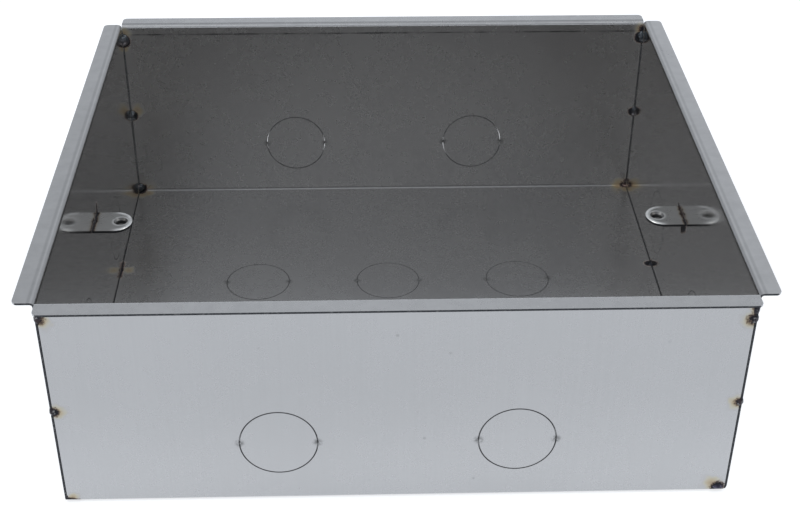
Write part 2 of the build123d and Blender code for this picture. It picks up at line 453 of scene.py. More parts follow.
sheetLook = {
    "wrapColour": (0.510, 0.500, 0.489, 1.0), "wrapRoughness": 0.27,
    "panelColour": (0.670, 0.656, 0.641, 1.0), "panelRoughness": 0.12,
    "outerColour": (0.515, 0.505, 0.493, 1.0),  # the panels' outside
    "leftRimColour": (0.488, 0.478, 0.467, 1.0), "rightRimColour": (0.535, 0.524, 0.512, 1.0),
    # the rim lines and the rims' bends are painted shade, and the back rim's bend colour is a painted
    # highlight
    "panelRimRoughness": 0.30, "rimLineShade": 0.19, "rimBendShade": 0.42,
    "backRimLineShade": 0.34, "backRimBendHighlight": (0.580, 0.570, 0.558, 1.0),
    # the floor bend's shade darkens the inner bend between floor and back wall, as painted shade
    "bendRoughness": 0.12, "bendShade": 0.62,
    "clouds": 0.07, "mottle": 0.035, "rimMottle": 0.26, "streaks": 0.06, "specks": 0.2,
    "alongX": (1.0, 0.012, 0.012), "alongY": (0.012, 1.0, 0.012),
    "grainDepth": 0.000004, "grainStrength": 0.07,
    "dieMarkHeight": 105.2, "dieMarkHalfWidth": 0.36, "dieMarkStrength": 0.95,
    # the mark colour is for the die mark and for painted shade; the seam colour is painted shade along the
    # seams
    "markAndShadeColour": (0.03, 0.03, 0.034, 1.0), "seamShadeColour": (0.018, 0.018, 0.020, 1.0),
    "sootDull": 0.7, "dullRoughness": 0.55, "scuffRoughness": 0.12, "tintRoughness": 0.2,
    "tintMetal": -0.34, "sootMetal": -0.45,
}
# where a zone of the sheets starts and where it is full, in millimetres from the middle or up from the bottom
zones = {
    "wrapRim": (109.6, 110.2), "wrapOutside": (139.0, 139.3), "wrapSeamShade": (150.75, 151.15),
    "wrapRimEdge": (146.0, 147.0), "floorBend": (137.3, 137.9), "aboveFloorBend": (1.9, 2.6),
    "floorInside": (0.4, 0.7), "floorSheet": (0.3, 0.5), "belowRim": (106.0, 109.0), "corner": (120.0, 125.0),
    "backRimLine": (140.0, 140.8), "backRimFlat": (141.4, 142.2),
    "backRimBend": (138.8, 139.2), "backRimBendTop": (108.9, 109.4), "backRimBendEnd": (140.0, 140.6),
    "panelRim": (108.9, 110.0), "panelOutside": (151.9, 152.2), "panelSeamShade": (138.5, 138.75),
    "panelInside": (151.6, 151.8), "panelRimEdge": (158.0, 159.0), "panelFoot": (1.1, 1.3),
    "paintedRimLine": (153.1, 154.1), "rimFlat": (154.4, 155.4),
    "paintedRimBend": (107.5, 109.5), "rimBendEnd": (151.9, 153.1),
}


def past(tree, part, zone):
    # 1 where a coordinate, without its sign, is past the zone's range
    return remap(tree, calc(tree, "MULTIPLY", calc(tree, "ABSOLUTE", part), 1000.0), *zones[zone])


def before(tree, part, zone):
    return opposite(tree, past(tree, part, zone))


def blendTo(tree, mask, first, second):
    # a value that goes from the first to the second with a mask
    return calc(tree, "MULTIPLY_ADD", mask, second - first, first)


def steelSkin(tree, position, colour, rolling, roughness, onRim):
    return useGroup(tree, millFinish, {
        "Position": position, "Colour": colour, "Rolling": rolling, "Clouds": sheetLook["clouds"],
        "Mottle": blendTo(tree, onRim, sheetLook["mottle"], sheetLook["rimMottle"]),
        "Streaks": sheetLook["streaks"], "Specks": sheetLook["specks"], "Roughness": roughness})


def shaded(tree, mask, shade, colour):
    # a colour that is darkened towards the colour of the marks and the painted shade
    return mixColours(tree, calc(tree, "MULTIPLY", mask, shade), colour, sheetLook["markAndShadeColour"])


def finishSheet(tree, shader, position, skin, colour, edges, seamShade, heat):
    # cut edges, the painted shade along the seams and the dark lines at the kerfs of the knockouts are too
    # dark and rough to shine
    heated = useGroup(tree, weldHeat, {"Position": position, "Colour": colour, "Strength": heat})
    marked = useGroup(tree, knockoutMarks, {
        "Position": position, "Colour": heated["Colour"], "Scuffs": knockoutLook["scuffs"],
        "Burr And Shade": knockoutLook["burrAndShade"], "Burr And Shade Width": knockoutLook["burrAndShadeWidth"]})
    edged = useGroup(tree, cutEdge, {"Position": position, "Colour": marked["Colour"], "Mask": edges})
    plug(tree, shader.inputs["Base Color"], mixColours(tree, seamShade, edged["Colour"], sheetLook["seamShadeColour"]))
    dull = calc(tree, "MAXIMUM", calc(tree, "MAXIMUM", seamShade, edged["Dirt"]), marked["Burr And Shade"])
    dull = calc(tree, "MAXIMUM", dull, calc(tree, "MULTIPLY", heated["Soot"], sheetLook["sootDull"]))
    rough = calc(tree, "MULTIPLY_ADD", marked["Scuff"], sheetLook["scuffRoughness"], skin["Roughness"])
    rough = calc(tree, "MULTIPLY_ADD", heated["Tint"], sheetLook["tintRoughness"], rough)
    rough = calc(tree, "MULTIPLY_ADD", dull, sheetLook["dullRoughness"], rough, clamp=True)
    plug(tree, shader.inputs["Roughness"], rough)
    metal = calc(tree, "MULTIPLY_ADD", heated["Tint"], sheetLook["tintMetal"], 1.0)
    metal = calc(tree, "MULTIPLY_ADD", heated["Soot"], sheetLook["sootMetal"], metal, clamp=True)
    plug(tree, shader.inputs["Metallic"], calc(tree, "MULTIPLY", metal, opposite(tree, dull)))
    bump = addNode(tree, "ShaderNodeBump", {"Height": skin["Height"], "Strength": sheetLook["grainStrength"],
                                            "Distance": sheetLook["grainDepth"]})
    plug(tree, shader.inputs["Normal"], bump.outputs[0])


def dieMark(tree, position, parts, normal):
    # the thin line that the folding die has pressed into the end walls, inside, under the rim's bend
    height = calc(tree, "MULTIPLY", parts[2], 1000.0)
    away = calc(tree, "ABSOLUTE", calc(tree, "SUBTRACT", height, sheetLook["dieMarkHeight"]))
    width = sheetLook["dieMarkHalfWidth"]
    line = remap(tree, away, 0.4 * width, 1.5 * width, 1.0, 0.0)
    broken = noiseAt(tree, position, 60.0, 3.0, 0.7, stretch=(1.0, 0.2, 0.2))
    broken = remap(tree, broken, 0.36, 0.6, 0.25, 1.0)
    mark = both(tree, line, broken, facing(tree, normal, 1), before(tree, parts[1], "wrapOutside"))
    return calc(tree, "MULTIPLY", mark, sheetLook["dieMarkStrength"])


def wrapSheet():
    material, tree, shader, position, normal = newMaterial("wrapSheetSteel")
    parts = separate(tree, position)
    onRim = past(tree, parts[2], "wrapRim")
    indoors = before(tree, parts[1], "wrapOutside")
    onBend = both(tree, past(tree, parts[1], "floorBend"), before(tree, parts[2], "aboveFloorBend"), indoors)
    # painted shade and light: a soft dark line painted where the back rim begins to bend, and a painted
    # highlight on the bend below it
    onBack = remap(tree, parts[1], 0.0, 0.01)
    paintedRimLine = both(tree, onRim, onBack, past(tree, parts[1], "backRimLine"),
                   before(tree, parts[1], "backRimFlat"))
    paintedRimBend = both(tree, onBack, past(tree, parts[2], "backRimBendTop"), past(tree, parts[1], "backRimBend"),
                   before(tree, parts[1], "backRimBendEnd"))
    base = mixColours(tree, paintedRimBend, sheetLook["wrapColour"], sheetLook["backRimBendHighlight"])
    base = shaded(tree, paintedRimLine, sheetLook["backRimLineShade"], base)
    roughness = calc(tree, "MULTIPLY_ADD", onBend, sheetLook["bendRoughness"], sheetLook["wrapRoughness"])
    skin = steelSkin(tree, position, base, sheetLook["alongX"], roughness, onRim)
    mark = dieMark(tree, position, parts, normal)
    colour = mixColours(tree, mark, skin["Colour"], sheetLook["markAndShadeColour"])
    # painted shade: the inner bend between the floor and the back wall is darkened
    colour = shaded(tree, onBend, 1.0 - sheetLook["bendShade"], colour)
    # painted shade: the wrap is darkened along its seams with the panels, inside the box
    seamShade = both(tree, past(tree, parts[0], "wrapSeamShade"), indoors, past(tree, parts[2], "floorInside"),
                before(tree, parts[2], "belowRim"))
    rimEdge = both(tree, facing(tree, normal, 1), past(tree, parts[1], "wrapRimEdge"))
    edges = calc(tree, "MAXIMUM", facing(tree, normal, 0), rimEdge)
    # the welds inside leave no mark on the underside, except at the corners
    underside = both(tree, before(tree, parts[2], "floorSheet"), before(tree, parts[1], "corner"))
    finishSheet(tree, shader, position, skin, colour, edges, seamShade, opposite(tree, underside))
    return material


def panelSheet():
    material, tree, shader, position, normal = newMaterial("panelSheetSteel")
    parts = separate(tree, position)
    onRim = past(tree, parts[2], "panelRim")
    outdoors = past(tree, parts[0], "panelOutside")
    outerFace = both(tree, outdoors, opposite(tree, onRim))
    roughness = blendTo(tree, onRim, sheetLook["panelRoughness"], sheetLook["panelRimRoughness"])
    rougher = sheetLook["wrapRoughness"] - sheetLook["panelRoughness"]
    roughness = calc(tree, "MULTIPLY_ADD", outerFace, rougher, roughness)
    onRight = remap(tree, parts[0], -0.01, 0.01)
    rimColour = mixColours(tree, onRight, sheetLook["leftRimColour"], sheetLook["rightRimColour"])
    base = mixColours(tree, outerFace, sheetLook["panelColour"], sheetLook["outerColour"])
    base = mixColours(tree, onRim, base, rimColour)
    # painted shade: a soft dark line where the bend begins, and the bend below it painted darker
    paintedRimLine = both(tree, onRim, past(tree, parts[0], "paintedRimLine"), before(tree, parts[0], "rimFlat"))
    base = shaded(tree, paintedRimLine, sheetLook["rimLineShade"], base)
    paintedRimBend = both(tree, past(tree, parts[2], "paintedRimBend"), before(tree, parts[0], "rimBendEnd"))
    base = shaded(tree, paintedRimBend, sheetLook["rimBendShade"], base)
    skin = steelSkin(tree, position, base, sheetLook["alongY"], roughness, onRim)
    # painted shade: the panels are darkened along their seams with the wrap and at their foot on the floor,
    # inside the box
    joint = calc(tree, "MAXIMUM", past(tree, parts[1], "panelSeamShade"), before(tree, parts[2], "panelFoot"))
    seamShade = both(tree, joint, before(tree, parts[0], "panelInside"), before(tree, parts[2], "belowRim"))
    rimEdge = both(tree, facing(tree, normal, 0), past(tree, parts[0], "panelRimEdge"))
    edges = calc(tree, "MAXIMUM", facing(tree, normal, 1), rimEdge)
    # the welds inside leave no mark on the outside, except at the corners
    unmarked = both(tree, outdoors, before(tree, parts[1], "corner"))
    finishSheet(tree, shader, position, skin, skin["Colour"], edges, seamShade, opposite(tree, unmarked))
    return material


# screw tabs

tabLook = {
    "dull": (0.258, 0.251, 0.238, 1.0), "roughness": 0.28,
    # the bright colour is partly polish and partly a painted highlight
    "polishAndHighlightColour": (0.88, 0.87, 0.84, 1.0), "brightRoughness": 0.10,
    "clouds": 0.3, "mottle": 0.3, "streaks": 0.12, "specks": 0.3, "rolling": (0.012, 1.0, 1.0),
    "arcMiddle": 0.14125, "arcFrom": 0.0066, "arcTo": 0.0082, "lipBrightness": 0.45,
    "polishPitch": 0.0011, "polishWobble": 0.0012, "polishDepth": 0.00001, "polishStrength": 0.3,
    "strawReach": 2.5, "strawRoughness": 0.15, "strawLeast": -0.42, "strawMost": 0.34, "strawScale": 260.0,
    "straw": [
        (0.00, (0.012, 0.010, 0.011, 1.0)), (0.24, (0.030, 0.020, 0.017, 1.0)),
        (0.40, (0.110, 0.072, 0.044, 0.8)), (0.55, (0.240, 0.200, 0.145, 0.5)),
        (1.00, (0.280, 0.265, 0.230, 0.0)),
    ],
    # the bore's shade and the mouth's colour are painted shade in the hole
    "sideColour": (0.020, 0.020, 0.022, 1.0), "dullRoughness": 0.4, "boreShade": 0.8, "boreDull": 0.5,
    "mouthShadeColour": (0.190, 0.186, 0.180, 1.0), "mouthRoughness": 0.16,
    "threadPitch": 0.00127, "threadDepth": 0.0003,
}


def across(tree, x, y):
    # distance in the plane of the tab
    return calc(tree, "SQRT", calc(tree, "ADD", calc(tree, "POWER", x, 2.0), calc(tree, "POWER", y, 2.0)))


def tabSteel():
    material, tree, shader, position, normal = newMaterial("tabSteel")
    parts = separate(tree, position)
    outward = calc(tree, "ABSOLUTE", parts[0])
    fromHoleX = calc(tree, "SUBTRACT", outward, faceAt["screwX"] / 1000.0)
    fromHoleY = calc(tree, "SUBTRACT", parts[1], faceAt["screwY"] / 1000.0)
    fromHole = across(tree, fromHoleX, fromHoleY)
    # bright round the tip, partly polish and partly a painted highlight, a painted highlight on the lip of
    # the hole, and dull towards the wall
    fromArcX = calc(tree, "SUBTRACT", outward, tabLook["arcMiddle"])
    fromArc = across(tree, fromArcX, fromHoleY)
    crescent = both(tree, remap(tree, fromArc, tabLook["arcFrom"], tabLook["arcTo"]),
                    remap(tree, fromArcX, 0.002, -0.004, 0.0, 1.0))
    lip = both(tree, remap(tree, fromHole, 0.0034, 0.0038), remap(tree, fromHole, 0.0042, 0.0050, 1.0, 0.0))
    polishAndHighlight = calc(tree, "MAXIMUM", crescent, calc(tree, "MULTIPLY", lip, tabLook["lipBrightness"]))
    patchy = remap(tree, noiseAt(tree, position, 240.0, 3.0), 0.3, 0.6, 0.55, 1.0)
    polishAndHighlight = calc(tree, "MULTIPLY", polishAndHighlight, patchy)
    skin = useGroup(tree, millFinish, {
        "Position": position, "Colour": mixColours(tree, polishAndHighlight, tabLook["dull"], tabLook["polishAndHighlightColour"]),
        "Rolling": tabLook["rolling"], "Clouds": tabLook["clouds"], "Mottle": tabLook["mottle"],
        "Streaks": tabLook["streaks"], "Specks": tabLook["specks"],
        "Roughness": calc(tree, "MULTIPLY_ADD", polishAndHighlight, tabLook["brightRoughness"], tabLook["roughness"])})
    # brown towards the weld
    toWall = calc(tree, "SUBTRACT", faceAt["innerX"] / 1000.0, outward)
    toWall = calc(tree, "MULTIPLY", toWall, 1000.0 / tabLook["strawReach"])
    ragged = remap(tree, noiseAt(tree, position, tabLook["strawScale"], 3.0), 0.2, 0.8,
                   tabLook["strawLeast"], tabLook["strawMost"], smooth=False)
    straw, amount = ramp(tree, calc(tree, "ADD", toWall, ragged), tabLook["straw"])
    colour = mixColours(tree, amount, skin["Colour"], straw)
    # the bevelled mouth painted darker and the bore painted near black, as painted shade in the hole, and the
    # dark cut side
    level = calc(tree, "ABSOLUTE", separate(tree, normal)[2])
    mouth = both(tree, remap(tree, level, 0.86, 0.94, 1.0, 0.0),
                 remap(tree, fromHole, 0.0036, 0.0038, 1.0, 0.0))
    side = both(tree, remap(tree, level, 0.3, 0.6, 1.0, 0.0), remap(tree, fromHole, 0.0040, 0.0050))
    bore = both(tree, remap(tree, level, 0.2, 0.5, 1.0, 0.0), remap(tree, fromHole, 0.0026, 0.0030, 1.0, 0.0))
    colour = mixColours(tree, mouth, colour, tabLook["mouthShadeColour"])
    dark = calc(tree, "MAXIMUM", side, calc(tree, "MULTIPLY", bore, tabLook["boreShade"]))
    plug(tree, shader.inputs["Base Color"], mixColours(tree, dark, colour, tabLook["sideColour"]))
    dull = calc(tree, "MAXIMUM", side, calc(tree, "MULTIPLY", bore, tabLook["boreDull"]))
    rough = calc(tree, "MULTIPLY_ADD", amount, tabLook["strawRoughness"], skin["Roughness"])
    rough = calc(tree, "MULTIPLY_ADD", mouth, tabLook["mouthRoughness"], rough)
    plug(tree, shader.inputs["Roughness"], calc(tree, "MULTIPLY_ADD", dull, tabLook["dullRoughness"], rough))
    plug(tree, shader.inputs["Metallic"], opposite(tree, dull))
    # rings of polish round the hole, and the thread as a helix down it
    wobble = calc(tree, "MULTIPLY", noiseAt(tree, position, 260.0), tabLook["polishWobble"])
    rings = calc(tree, "SINE", calc(tree, "MULTIPLY", calc(tree, "ADD", fromHole, wobble),
                                    2.0 * math.pi / tabLook["polishPitch"]))
    polish = addNode(tree, "ShaderNodeBump", {
        "Height": calc(tree, "MULTIPLY_ADD", rings, 0.4, skin["Height"]),
        "Strength": tabLook["polishStrength"], "Distance": tabLook["polishDepth"]})
    around = calc(tree, "DIVIDE", calc(tree, "ARCTAN2", fromHoleY, fromHoleX), 2.0 * math.pi)
    climb = calc(tree, "ADD", calc(tree, "DIVIDE", parts[2], tabLook["threadPitch"]), around)
    thread = calc(tree, "MULTIPLY", calc(tree, "PINGPONG", climb, 0.5), calc(tree, "MULTIPLY", bore, 2.0))
    bump = addNode(tree, "ShaderNodeBump", {
        "Height": thread, "Strength": 1.0, "Distance": tabLook["threadDepth"], "Normal": polish.outputs[0]})
    plug(tree, shader.inputs["Normal"], bump.outputs[0])
    return material


# metal of the weld beads; the sides that face the front and back get a lighter tone in patches, a painted
# highlight

beadLook = {
    "inner": {
        "core": (0.022, 0.028, 0.033, 1.0), "bronze": (0.046, 0.034, 0.037, 1.0),
        "scale": (0.08, 0.09, 0.10, 1.0), "paintedHighlight": (0.270, 0.280, 0.300, 1.0),
        "paintedHighlightFrom": 0.36, "paintedHighlightTo": 0.66, "paintedHighlightScale": 210.0, "paintedHighlightShare": 0.34,
    },
    "outer": {
        "core": (0.020, 0.021, 0.027, 1.0), "bronze": (0.045, 0.030, 0.030, 1.0),
        "scale": (0.11, 0.11, 0.12, 1.0), "paintedHighlight": (0.330, 0.320, 0.310, 1.0),
        "paintedHighlightFrom": 0.53, "paintedHighlightTo": 0.64, "paintedHighlightScale": 620.0, "paintedHighlightShare": 0.75,
    },
    "melted": {
        "core": (0.034, 0.030, 0.046, 1.0), "bronze": (0.050, 0.036, 0.050, 1.0),
        "scale": (0.16, 0.15, 0.20, 1.0), "paintedHighlight": (0.210, 0.190, 0.260, 1.0),
        "paintedHighlightFrom": 0.38, "paintedHighlightTo": 0.62, "paintedHighlightScale": 300.0, "paintedHighlightShare": 0.8,
    },
    "flat": {
        "core": (0.130, 0.100, 0.092, 1.0), "bronze": (0.090, 0.055, 0.048, 1.0),
        "scale": (0.22, 0.19, 0.18, 1.0), "paintedHighlight": (0.300, 0.240, 0.225, 1.0),
        "paintedHighlightFrom": 0.36, "paintedHighlightTo": 0.60, "paintedHighlightScale": 400.0, "paintedHighlightShare": 0.7,
    },
    "tab": {
        "core": (0.014, 0.013, 0.015, 1.0), "bronze": (0.050, 0.028, 0.020, 1.0),
        "scale": (0.06, 0.05, 0.05, 1.0), "paintedHighlight": (0.120, 0.105, 0.095, 1.0),
        "paintedHighlightFrom": 0.52, "paintedHighlightTo": 0.64, "paintedHighlightScale": 560.0, "paintedHighlightShare": 0.7,
    },
}
weldSurface = {
    "scaleSize": 420.0, "scaleShare": 0.45, "bronzeSize": 150.0, "roughness": 0.22, "roughnessSpread": 0.25,
    "metallic": 0.8, "coat": 0.12, "coatRoughness": 0.3, "pitDepth": 0.00008, "pitStrength": 0.4,
}


def weldMetal(kind):
    colours = beadLook[kind]
    material, tree, shader, position, normal = newMaterial(kind + "WeldMetal")
    scale = noiseAt(tree, position, weldSurface["scaleSize"], 4.0, 0.65)
    patches = noiseAt(tree, position, weldSurface["bronzeSize"])
    colour = mixColours(tree, remap(tree, patches, 0.50, 0.70), colours["core"], colours["bronze"])
    scaly = remap(tree, scale, 0.55, 0.8, 0.0, weldSurface["scaleShare"])
    colour = mixColours(tree, scaly, colour, colours["scale"])
    # painted highlight: a lighter tone in patches on the sides facing the front and back
    paintedHighlight = noiseAt(tree, position, colours["paintedHighlightScale"], 3.0, 0.6)
    paintedHighlight = both(tree, facing(tree, normal, 1, 0.35, 0.85),
                remap(tree, paintedHighlight, colours["paintedHighlightFrom"], colours["paintedHighlightTo"]))
    colour = mixColours(tree, calc(tree, "MULTIPLY", paintedHighlight, colours["paintedHighlightShare"]), colour, colours["paintedHighlight"])
    plug(tree, shader.inputs["Base Color"], colour)
    plug(tree, shader.inputs["Roughness"],
         calc(tree, "MULTIPLY_ADD", scale, weldSurface["roughnessSpread"], weldSurface["roughness"]))
    bump = addNode(tree, "ShaderNodeBump", {"Height": scale, "Strength": weldSurface["pitStrength"],
                                            "Distance": weldSurface["pitDepth"]})
    plug(tree, shader.inputs["Normal"], bump.outputs[0])
    shader.inputs["Metallic"].default_value = weldSurface["metallic"]
    shader.inputs["Coat Weight"].default_value = weldSurface["coat"]
    shader.inputs["Coat Roughness"].default_value = weldSurface["coatRoughness"]
    return material


sheetMaterials = {"body_wrap": wrapSheet()}
sheetMaterials["side_panel_left"] = sheetMaterials["side_panel_right"] = panelSheet()
sheetMaterials["cover_tab_left"] = sheetMaterials["cover_tab_right"] = tabSteel()
weldMetals = {kind: weldMetal(kind) for kind in beadLook}
print("materials made")

for node, material in sheetMaterials.items():
    for slot in frame["nodes"][node].material_slots:
        slot.material = material
print("sheets and tabs dressed")

# shapes of the weld beads, in millimetres

beadShape = {
    "subdivisions": 4, "lumps": 0.13, "ripples": 0.022, "rippleCount": 17.0,
    "crater": 0.10, "craterWidth": 0.34, "skirt": 0.22, "skirtHeight": 0.55, "rootDepth": 0.12,
}
# (radius across, radius up, height) of each bead inside the corners
innerBeads = {
    "BackLeft": {"bottom": (2.75, 2.6, 3.0), "middle": (2.45, 2.75, 52.9), "top": (2.7, 3.0, 101.9)},
    "BackRight": {"bottom": (1.9, 0.8, 1.6), "middle": (1.45, 2.5, 52.7), "top": (2.45, 2.9, 101.6)},
    "FrontLeft": {"bottom": (2.4, 2.4, 3.0), "middle": (2.2, 2.3, 52.8), "top": (2.6, 2.6, 102.6)},
    "FrontRight": {"bottom": (2.6, 2.5, 3.0), "middle": (2.1, 2.3, 52.8), "top": (2.5, 2.6, 102.6)},
}
innerInset = 0.35
outerBeads = {
    "radii": (1.6, 1.6, 2.4), "inset": 0.95, "heights": {"bottom": 3.0, "middle": 52.8, "top": 102.6},
    "lowFrontLeft": (1.05, 1.05, 1.5), "secondFrontRight": 97.9, "lowest": 0.15, "hidden": 0.8,
}
meltedShape = {"centre": (148.3, -138.35, 2.45), "radii": (3.05, 2.05, 1.8), "lowest": 0.1, "above": 0.8}
floorBeads = {"Left": (1.1, 2.2, 0.75), "Right": (1.55, 2.1, 1.6), "places": (50.0, -50.0)}


def lumpyBall(centre, radii, axis, seed, walls):
    # walls are (point, normal into the room) pairs; the bead spreads a little where it meets them
    shape = bmesh.new()
    bmesh.ops.create_icosphere(shape, subdivisions=beadShape["subdivisions"], radius=1.0)
    shift = Vector((seed * 7.31, seed * 3.17, seed * 5.83))
    for vertex in shape.verts:
        way = vertex.co.normalized()
        turn = math.acos(max(-1.0, min(1.0, way.dot(axis))))
        grow = 1.0 + beadShape["lumps"] * noise.noise(way * 1.6 + shift)
        grow += 0.35 * beadShape["lumps"] * noise.noise(way * 4.2 + shift)
        grow += beadShape["ripples"] * math.cos(turn * beadShape["rippleCount"]) * min(1.0, turn / 0.5)
        grow -= beadShape["crater"] * math.exp(-(turn / beadShape["craterWidth"]) ** 2)
        offset = Vector([way[i] * radii[i] * grow for i in range(3)])
        place = centre + offset
        for point, normal in walls:
            height = (place - point).dot(normal)
            spread = beadShape["skirt"] * math.exp(-(max(0.0, height) / beadShape["skirtHeight"]) ** 2)
            flat = offset - normal * offset.dot(normal)
            place += flat * spread
        vertex.co = place
    for point, normal in walls:
        cut = shape.verts[:] + shape.edges[:] + shape.faces[:]
        root = point - normal * beadShape["rootDepth"]
        bmesh.ops.bisect_plane(shape, geom=cut, plane_co=root, plane_no=-normal, clear_outer=True)
        edges = [edge for edge in shape.edges if edge.is_boundary]
        bmesh.ops.holes_fill(shape, edges=edges, sides=0)
    return shape


def placeWeld(name, shapes, node, metals):
    # shapes are (mesh, number of its metal) pairs, in millimetres
    whole = bmesh.new()
    for shape, metal in shapes:
        bmesh.ops.recalc_face_normals(shape, faces=shape.faces[:])
        for face in shape.faces:
            face.smooth = len(face.verts) < 6
            face.material_index = metal
        part = bpy.data.meshes.new("part")
        shape.to_mesh(part)
        shape.free()
        whole.from_mesh(part)
        bpy.data.meshes.remove(part)
    for vertex in whole.verts:
        vertex.co *= 0.001
    mesh = bpy.data.meshes.new(name)
    whole.to_mesh(mesh)
    whole.free()
    for metal in metals:
        mesh.materials.append(weldMetals[metal])
    piece = bpy.data.objects.new(name, mesh)
    scene.collection.objects.link(piece)
    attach(piece, "root")
    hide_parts(node)


def sideWall(sideX):
    return Vector((sideX * faceAt["innerX"], 0, 0)), Vector((-sideX, 0, 0))


def endWall(sideY):
    return Vector((0, sideY * faceAt["innerY"], 0)), Vector((0, -sideY, 0))


floorFace = Vector((0, 0, faceAt["floor"])), Vector((0, 0, 1))


def innerBead(sideX, sideY, corner, level, seed):
    radius, up, height = innerBeads[corner][level]
    x, y = faceAt["innerX"] - innerInset, faceAt["innerY"] - innerInset
    axis = Vector((-sideX, -sideY, 0.35)).normalized()
    walls = [sideWall(sideX), endWall(sideY)] + ([floorFace] if level == "bottom" else [])
    return lumpyBall(Vector((sideX * x, sideY * y, height)), (radius, radius, up), axis, seed, walls)


def outerBead(sideX, sideY, height, radii, seed):
    x, y = faceAt["outerX"] - outerBeads["inset"], faceAt["outerY"] - outerBeads["inset"]
    axis = Vector((sideX, sideY, 0)).normalized()
    bead = lumpyBall(Vector((sideX * x, sideY * y, height)), radii, axis, seed, [])
    deepestX, deepestY = faceAt["outerX"] - outerBeads["hidden"], faceAt["outerY"] - outerBeads["hidden"]
    for vertex in bead.verts:  # what would show inside the box stays within the sheets
        depthX = deepestX - abs(vertex.co.x)
        depthY = deepestY - abs(vertex.co.y)
        if depthX > 0 and depthY > 0:
            if depthX < depthY:
                vertex.co.x = sideX * deepestX
            else:
                vertex.co.y = sideY * deepestY
        vertex.co.z = max(vertex.co.z, outerBeads["lowest"])
    return bead


def meltedBead(seed):
    # the tack that has melted the front right bottom corner round; it stays within the sheets
    axis = Vector((0.2, -1.0, -0.2)).normalized()
    bead = lumpyBall(Vector(meltedShape["centre"]), meltedShape["radii"], axis, seed, [])
    deepestX, deepestY = faceAt["outerX"] - outerBeads["hidden"], outerBeads["hidden"] - faceAt["outerY"]
    for vertex in bead.verts:
        vertex.co.z = max(vertex.co.z, meltedShape["lowest"])
        vertex.co.x = min(vertex.co.x, deepestX)
        if vertex.co.y > deepestY and vertex.co.z > meltedShape["above"]:
            vertex.co.y = deepestY
    return bead


def cornerWelds(sideX, sideY, corner, seed):
    shapes = []
    for step, (level, height) in enumerate(outerBeads["heights"].items()):
        atFoot = level == "bottom"
        metal = 2 if atFoot and corner == "BackRight" else 0
        shapes.append((innerBead(sideX, sideY, corner, level, seed + step), metal))
        if atFoot and corner == "FrontRight":
            continue
        radii = outerBeads["lowFrontLeft"] if atFoot and corner == "FrontLeft" else outerBeads["radii"]
        shapes.append((outerBead(sideX, sideY, height, radii, seed + step + 0.5), 1))
    if corner == "FrontRight":
        second = outerBead(sideX, sideY, outerBeads["secondFrontRight"], outerBeads["radii"], seed + 5.5)
        shapes += [(second, 1), (meltedBead(seed + 6.5), 2)]
    return shapes


def floorBead(sideX, side, y, seed):
    centre = Vector((sideX * faceAt["innerX"], y, faceAt["floor"]))
    axis = Vector((-sideX, 0, 1)).normalized()
    return lumpyBall(centre, floorBeads[side], axis, seed, [sideWall(sideX), floorFace])


tabWeldShape = {
    "radius": 0.7, "uneven": 0.9, "least": 0.05, "overrun": 1.4, "root": 0.1,
    "ripple": 0.07, "ripplePitch": 0.9, "steps": 150, "arc": 12,
}


def tabWeldRadius(y, share, seed):
    # the bead fades at its ends, has thin and thick places, and is rippled
    fade = min(1.0, math.sqrt(max(0.0, 4.0 * share * (1.0 - share))) * 1.8)
    thickness = 0.80 + tabWeldShape["uneven"] * noise.noise(Vector((y * 0.42, seed, 0)))
    radius = tabWeldShape["radius"] * fade * min(1.25, thickness)
    radius *= 1.0 + tabWeldShape["ripple"] * math.sin(y * 2 * math.pi / tabWeldShape["ripplePitch"])
    return max(radius, tabWeldShape["least"])


def tabWeld(sideX, seed):
    # a fillet of weld between the wall and the tab's upper face
    shape = bmesh.new()
    wall, top, root = faceAt["innerX"], faceAt["tabTop"], tabWeldShape["root"]
    start = faceAt["tabFront"] - tabWeldShape["overrun"]
    length = faceAt["tabBack"] - faceAt["tabFront"] + 2 * tabWeldShape["overrun"]
    rows = []
    for step in range(tabWeldShape["steps"] + 1):
        share = step / tabWeldShape["steps"]
        y = start + length * share
        radius = tabWeldRadius(y, share, seed)
        row = [shape.verts.new((sideX * (wall + root), y, top - root))]
        for turn in range(tabWeldShape["arc"] + 1):
            angle = 0.5 * math.pi * turn / tabWeldShape["arc"]
            out = radius * (1.0 + 0.12 * noise.noise(Vector((y * 1.3, angle * 1.5, seed + 9))))
            x = wall - out * math.sin(angle) + root * math.cos(angle)
            z = top + out * math.cos(angle) - root * math.sin(angle)
            row.append(shape.verts.new((sideX * x, y, z)))
        rows.append(row)
    for first, second in zip(rows, rows[1:]):
        for index in range(len(first)):
            after = (index + 1) % len(first)
            shape.faces.new((first[index], first[after], second[after], second[index]))
    shape.faces.new(rows[0])
    shape.faces.new(reversed(rows[-1]))
    return shape


for sideX, sideY, corner, node, seed, extra in (
        (-1, -1, "FrontLeft", "corner_welds_front_left", 11, []),
        (1, -1, "FrontRight", "corner_welds_front_right", 31, ["melted"]),
        (-1, 1, "BackLeft", "corner_welds_back_left", 51, []),
        (1, 1, "BackRight", "corner_welds_back_right", 71, ["flat"])):
    beads = cornerWelds(sideX, sideY, corner, seed)
    placeWeld("cornerBeads" + corner, beads, node, ["inner", "outer"] + extra)
for sideX, side, node in ((-1, "Left", "left"), (1, "Right", "right")):
    seeds = (90 + sideX, 95 + sideX)
    beads = [(floorBead(sideX, side, y, seed), 0) for y, seed in zip(floorBeads["places"], seeds)]
    placeWeld("floorBeads" + side, beads, "floor_seam_welds_" + node, ["outer"])
    placeWeld("tabBead" + side, [(tabWeld(sideX, 3.0 + sideX), 0)], "tab_weld_" + node, ["tab"])
print("weld beads laid")

# floor, room and lamps; the room's levels go by a direction's x, y and z

